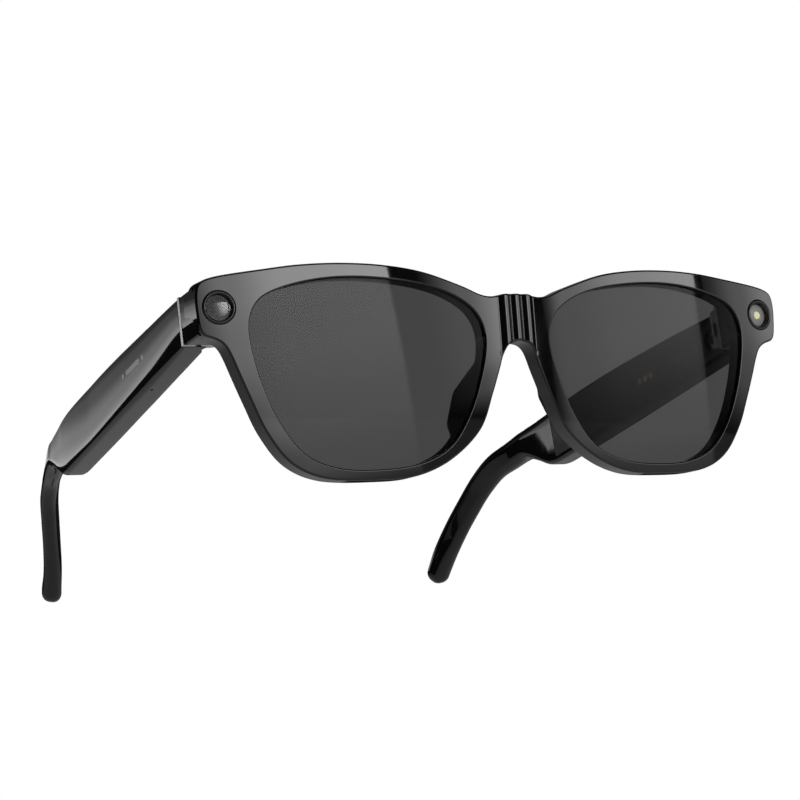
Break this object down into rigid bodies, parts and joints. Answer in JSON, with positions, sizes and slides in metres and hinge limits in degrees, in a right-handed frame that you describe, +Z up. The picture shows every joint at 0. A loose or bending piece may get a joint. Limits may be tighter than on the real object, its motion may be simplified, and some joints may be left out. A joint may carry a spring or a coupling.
{
  "type": "smart glasses",
  "caption": "Thick-framed black sunglasses with tinted lenses, a camera and a light in the endpieces, folding temples with sealed electronics, and curved ear hooks.",
  "frame": {"origin": "on the table, under the middle of the whole object's box, with the temples open", "axes": "+X to the wearer's left, +Y back along the temples, +Z up; the lenses face -Y"},
  "size_m": [0.1484, 0.16, 0.0471],
  "materials": {
    "frame": "glossy black injection-moulded frame plastic",
    "temple": "glossy black temple shells and ear tips",
    "cover": "satin black covers",
    "lens": "dark grey tinted lenses",
    "pad": "black nose pads",
    "bezel": "black bezel rings",
    "camera_glass": "coated cover glass",
    "led_glass": "milky light window",
    "rubber": "black gasket",
    "barrel": "black lens barrel",
    "sensor_part": "camera module body",
    "board": "green circuit board",
    "flex": "amber flexible circuit",
    "steel": "bright hinge steel",
    "screw_steel": "dark small screws",
    "pin_steel": "hinge pins and tip cores",
    "cell": "battery pouch",
    "speaker_body": "speaker boxes",
    "grille": "perforated speaker grilles",
    "mic": "microphone cans",
    "button": "black button caps",
    "switch": "tactile switches",
    "gold": "gold-plated charging contacts",
    "magnet": "plated magnets",
    "sensor_film": "copper touch film"
  },
  "bodies": {
    "front": {"front_frame": "frame", "brow_cover": "cover", "front_flex": "flex", "lens_right": "lens", "lens_left": "lens", "nose_pad_right": "pad", "nose_pad_left": "pad", "camera_bezel": "bezel", "camera_window": "camera_glass", "camera_gasket": "rubber", "camera_barrel": "barrel", "camera_module": "sensor_part", "led_bezel": "bezel", "led_window": "led_glass", "led_board": "board", "hinge_plate_right": "steel", "hinge_plate_left": "steel", "plate_screws": "screw_steel", "hinge_pin_right": "pin_steel", "hinge_pin_left": "pin_steel"},
    "temple_right": {"temple_shell_right": "temple", "inner_cover_right": "cover", "cover_screws_right": "screw_steel", "ear_tip_right": "temple", "tip_core_right": "pin_steel", "hinge_leaf_right": "steel", "leaf_screws_right": "screw_steel", "battery_right": "cell", "speaker_right": "speaker_body", "speaker_grille_right": "grille", "microphone_right": "mic", "main_board": "board", "touch_sensor": "sensor_film", "capture_switch": "switch"},
    "temple_left": {"temple_shell_left": "temple", "inner_cover_left": "cover", "cover_screws_left": "screw_steel", "ear_tip_left": "temple", "tip_core_left": "pin_steel", "hinge_leaf_left": "steel", "leaf_screws_left": "screw_steel", "battery_left": "cell", "speaker_left": "speaker_body", "speaker_grille_left": "grille", "microphone_left": "mic", "power_board": "board", "power_switch": "switch", "charge_contacts": "gold", "dock_magnets": "magnet"},
    "capture_cap": {"capture_button": "button"},
    "power_cap": {"power_button": "button"}
  },
  "joints": [
    {"name": "temple_left_fold", "type": "hinge", "parent": "front", "child": "temple_left", "pos_m": [0.0666, -0.06186, 0.037], "axis": [0, 0, 1], "range_deg": [0, 88]},
    {"name": "temple_right_fold", "type": "hinge", "parent": "front", "child": "temple_right", "pos_m": [-0.0666, -0.06186, 0.037], "axis": [0, 0, -1], "range_deg": [0, 76]},
    {"name": "capture_press", "type": "slide", "parent": "temple_right", "child": "capture_cap", "axis": [0, 0, -1], "range_m": [0, 0.0003], "stiffness_N_per_m": 800, "springref_m": -0.0005},
    {"name": "power_press", "type": "slide", "parent": "temple_left", "child": "power_cap", "axis": [0.9997, 0.0226, 0], "range_m": [0, 0.0003], "stiffness_N_per_m": 800, "springref_m": -0.0005}
  ]
}
